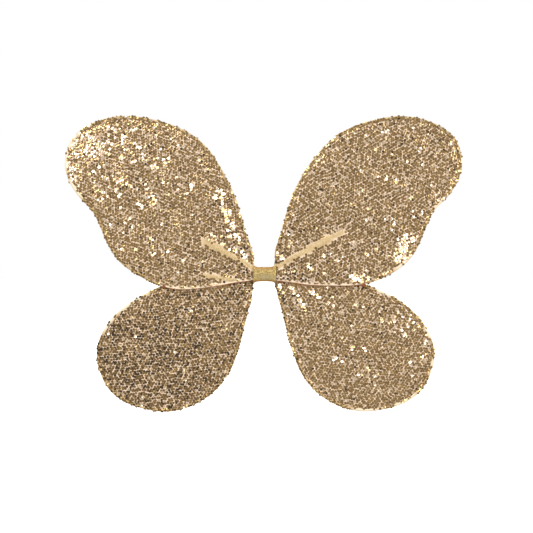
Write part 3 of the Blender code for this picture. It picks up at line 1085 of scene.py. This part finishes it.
# Along the strap's middle, in mm on the right-hand side: x, y, z, and the turn from flat (0) to
# on edge (1).
STRAP_ROUTE = [
    (3.6, -2.4, 4.2, 0), (8, -2.4, 4.2, 0), (12.4, -2.3, 4.3, 0), (17.5, -1.5, 6.5, 0.3),
    (24, -0.1, 10.0, 0.75), (31, 0.7, 13.8, 0.97), (38, 0.8, 17, 1), (64, 0.8, 20, 1),
    (91, 0.8, 9, 1), (106, 0.8, -14, 1), (111, 0.8, -46, 1), (103, 0.8, -82, 1),
    (84, 0.8, -103, 1), (62, 0.8, -101, 1), (46, 0.8, -78, 1), (35, 0.8, -46, 1),
    (28.5, 0.7, -29, 0.97), (23, -0.1, -17, 0.75), (17.5, -1.5, -8.5, 0.3),
    (12.4, -2.3, -4.5, 0), (8, -2.4, -4.2, 0), (3.6, -2.4, -4.2, 0),
]


def spaced(points, step):
    """Points at even steps along a smooth line through the given ones, which may carry more values."""
    given = np.array(points, float)
    ends = np.vstack([2 * given[0] - given[1], given, 2 * given[-1] - given[-2]])
    found = []
    for i in range(1, len(ends) - 2):
        a, b, c, d = ends[i - 1:i + 3]
        for t in np.linspace(0, 1, 40, endpoint=False):
            found.append(0.5 * (2 * b + (c - a) * t + (2 * a - 5 * b + 4 * c - d) * t**2
                                + (3 * b - a - 3 * c + d) * t**3))
    found = np.array(found + [given[-1]])
    gone = np.append(0, np.cumsum(np.linalg.norm(np.diff(found[:, :3], axis=0), axis=1)))
    marks = np.linspace(0, gone[-1], max(2, round(gone[-1] / step)))
    return np.column_stack([np.interp(marks, gone, found[:, k]) for k in range(found.shape[1])])


def strap(side):
    sign = SIDES[side]
    route = np.array(STRAP_ROUTE) * (sign * MM, MM, MM, 1)
    line = spaced(route, STRAP_STEP)
    tangents = np.gradient(line[:, :3], axis=0)
    shape = bmesh.new()
    columns = len(line) - 1
    bmesh.ops.create_grid(shape, x_segments=columns, y_segments=STRAP_RIBS * 4, size=1.0)
    for vert in shape.verts:
        k = round((vert.co.x + 1) / 2 * columns)
        centre, tangent = Vector(line[k, :3]), Vector(tangents[k]).normalized()
        angle = line[k, 3] * math.pi / 2
        flat = Vector((-tangent.z, 0, tangent.x)).normalized()
        across = (flat * math.cos(angle) + Vector((0, 1, 0)) * math.sin(angle)).normalized()
        out = tangent.cross(across)
        rib = RIB_RISE * math.cos(vert.co.y * math.pi * STRAP_RIBS)
        pinch = 1 + 0.015 * math.sin(k * 2.1)
        vert.co = centre + across * (vert.co.y * STRAP_WIDTH / 2 * pinch) + out * rib
    length = float(np.sum(np.linalg.norm(np.diff(line[:, :3], axis=0), axis=1)))
    shape.normal_update()
    bmesh.ops.recalc_face_normals(shape, faces=shape.faces)
    bmesh.ops.solidify(shape, geom=shape.faces, thickness=STRAP_THICKNESS - 2 * RIB_RISE)
    bmesh.ops.recalc_face_normals(shape, faces=shape.faces)
    piece = new_piece(f"elastic_strap_{side}", shape, ribbed_elastic)
    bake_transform(piece)
    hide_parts(f"strap_{side}", f"strap_end_{side}_upper", f"strap_end_{side}_lower")
    return length


for side in SIDES:
    print(f"strap {side}:", round(strap(side) * 1000), "mm of elastic")

# %% [markdown]
# ## The threads
# A reddish thread sews the upper wing's lower edge down on the lower wing. Close to the band its
# stitches touch, so it reads as a dark line under the cream fold, and further out they are spaced.
# The thread is made thick and dark, so this line also stands in for the shadow under the fold:
# partly painted shade.
# Where the wings part, a few turns of the same thread tack the two wires together, just where the
# two edges come nearest.

# %% Seam and tacks
# The seam thread's thickness is partly painted shade: it widens the dark line under the fold.
SEAM_THREAD, SEAM_STITCH = 0.55 * MM, 1.9 * MM
SEAM_FRONT, SEAM_DROP = 0.55 * MM, 1.15 * MM
SPACED_FROM = 60 * MM
TACK_THREAD = 0.3 * MM
TACK_TURNS, TACK_SIDES = 5, 12
TACK_WIDTH, TACK_CLEAR = 2.8 * MM, 2.1 * MM
TACK_REACH, TACK_LOWEST = 112 * MM, -60 * MM


def seam(wing):
    low = [p for p in wing.edge if is_seam(wing, p) and abs(p.x) > BAND_END + 1 * MM]
    low.sort(key=lambda p: abs(p.x))
    placed = []
    for a, b in zip(low, low[1:]):
        for share in (0.0, 0.5):
            point = a.lerp(b, share)
            if abs(point.x) > SPACED_FROM and share:
                continue
            place = Vector((point.x, wing.plane - SEAM_FRONT, point.y - SEAM_DROP))
            placed.append((place, Vector((1, 0, (b.y - a.y) / (b.x - a.x) + 0.12 * wing.sign))))
    piece = stitches(f"seam_stitches_{wing.side}", placed, SEAM_STITCH, SEAM_THREAD, seam_thread)
    bend_with(piece)
    return len(placed)


def tack(side):
    """A few turns round both wires, where the two wings' edges part."""
    upper, lower = wings[f"upper_{side}"], wings[f"lower_{side}"]
    over = [p for p in upper.edge if p.y < 0 and abs(p.x) > TACK_REACH]
    under = [p for p in lower.edge if p.y > TACK_LOWEST and abs(p.x) > TACK_REACH]
    p, q = min(((p, q) for p in over for q in under), key=lambda pair: (pair[0] - pair[1]).length)
    middle = Vector(((p.x + q.x) / 2, (upper.plane + lower.plane) / 2, (p.y + q.y) / 2))
    tall = (p - q).length / 2 + TACK_CLEAR
    deep = (lower.plane - upper.plane) / 2 + TACK_CLEAR
    line = []
    for i in range(TACK_TURNS * TACK_SIDES + 1):
        turn = i * math.tau / TACK_SIDES
        out = (i / (TACK_TURNS * TACK_SIDES) - 0.5) * TACK_WIDTH
        line.append(middle + Vector((out, deep * math.sin(turn), tall * math.cos(turn))))
    piece = tube(f"tack_thread_{side}", line, TACK_THREAD, seam_thread, sides=1)
    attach(piece, f"{side}_wings")
    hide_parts(f"seam_tack_{side}")
    return round(middle.x / MM), round(middle.z / MM)


for side in SIDES:
    print(f"seam {side}:", seam(wings[f"upper_{side}"]), "stitches, tacked at", tack(side), "mm")

# %% [markdown]
# ## The pieces that stay as they are in the frame
# Inside the band nothing needs another shape: cloth tape is wound over the ends of the wires. They
# get finishes of their own.

# %% Finishes for the frame's own pieces
for name, obj in nodes.items():
    if obj.hide_render:
        continue
    obj.data.materials.clear()
    obj.data.materials.append(cloth_tape if name == "tape_wrap" else drawn_steel)
    print(name, "keeps its shape:", obj.data.materials[0].name)
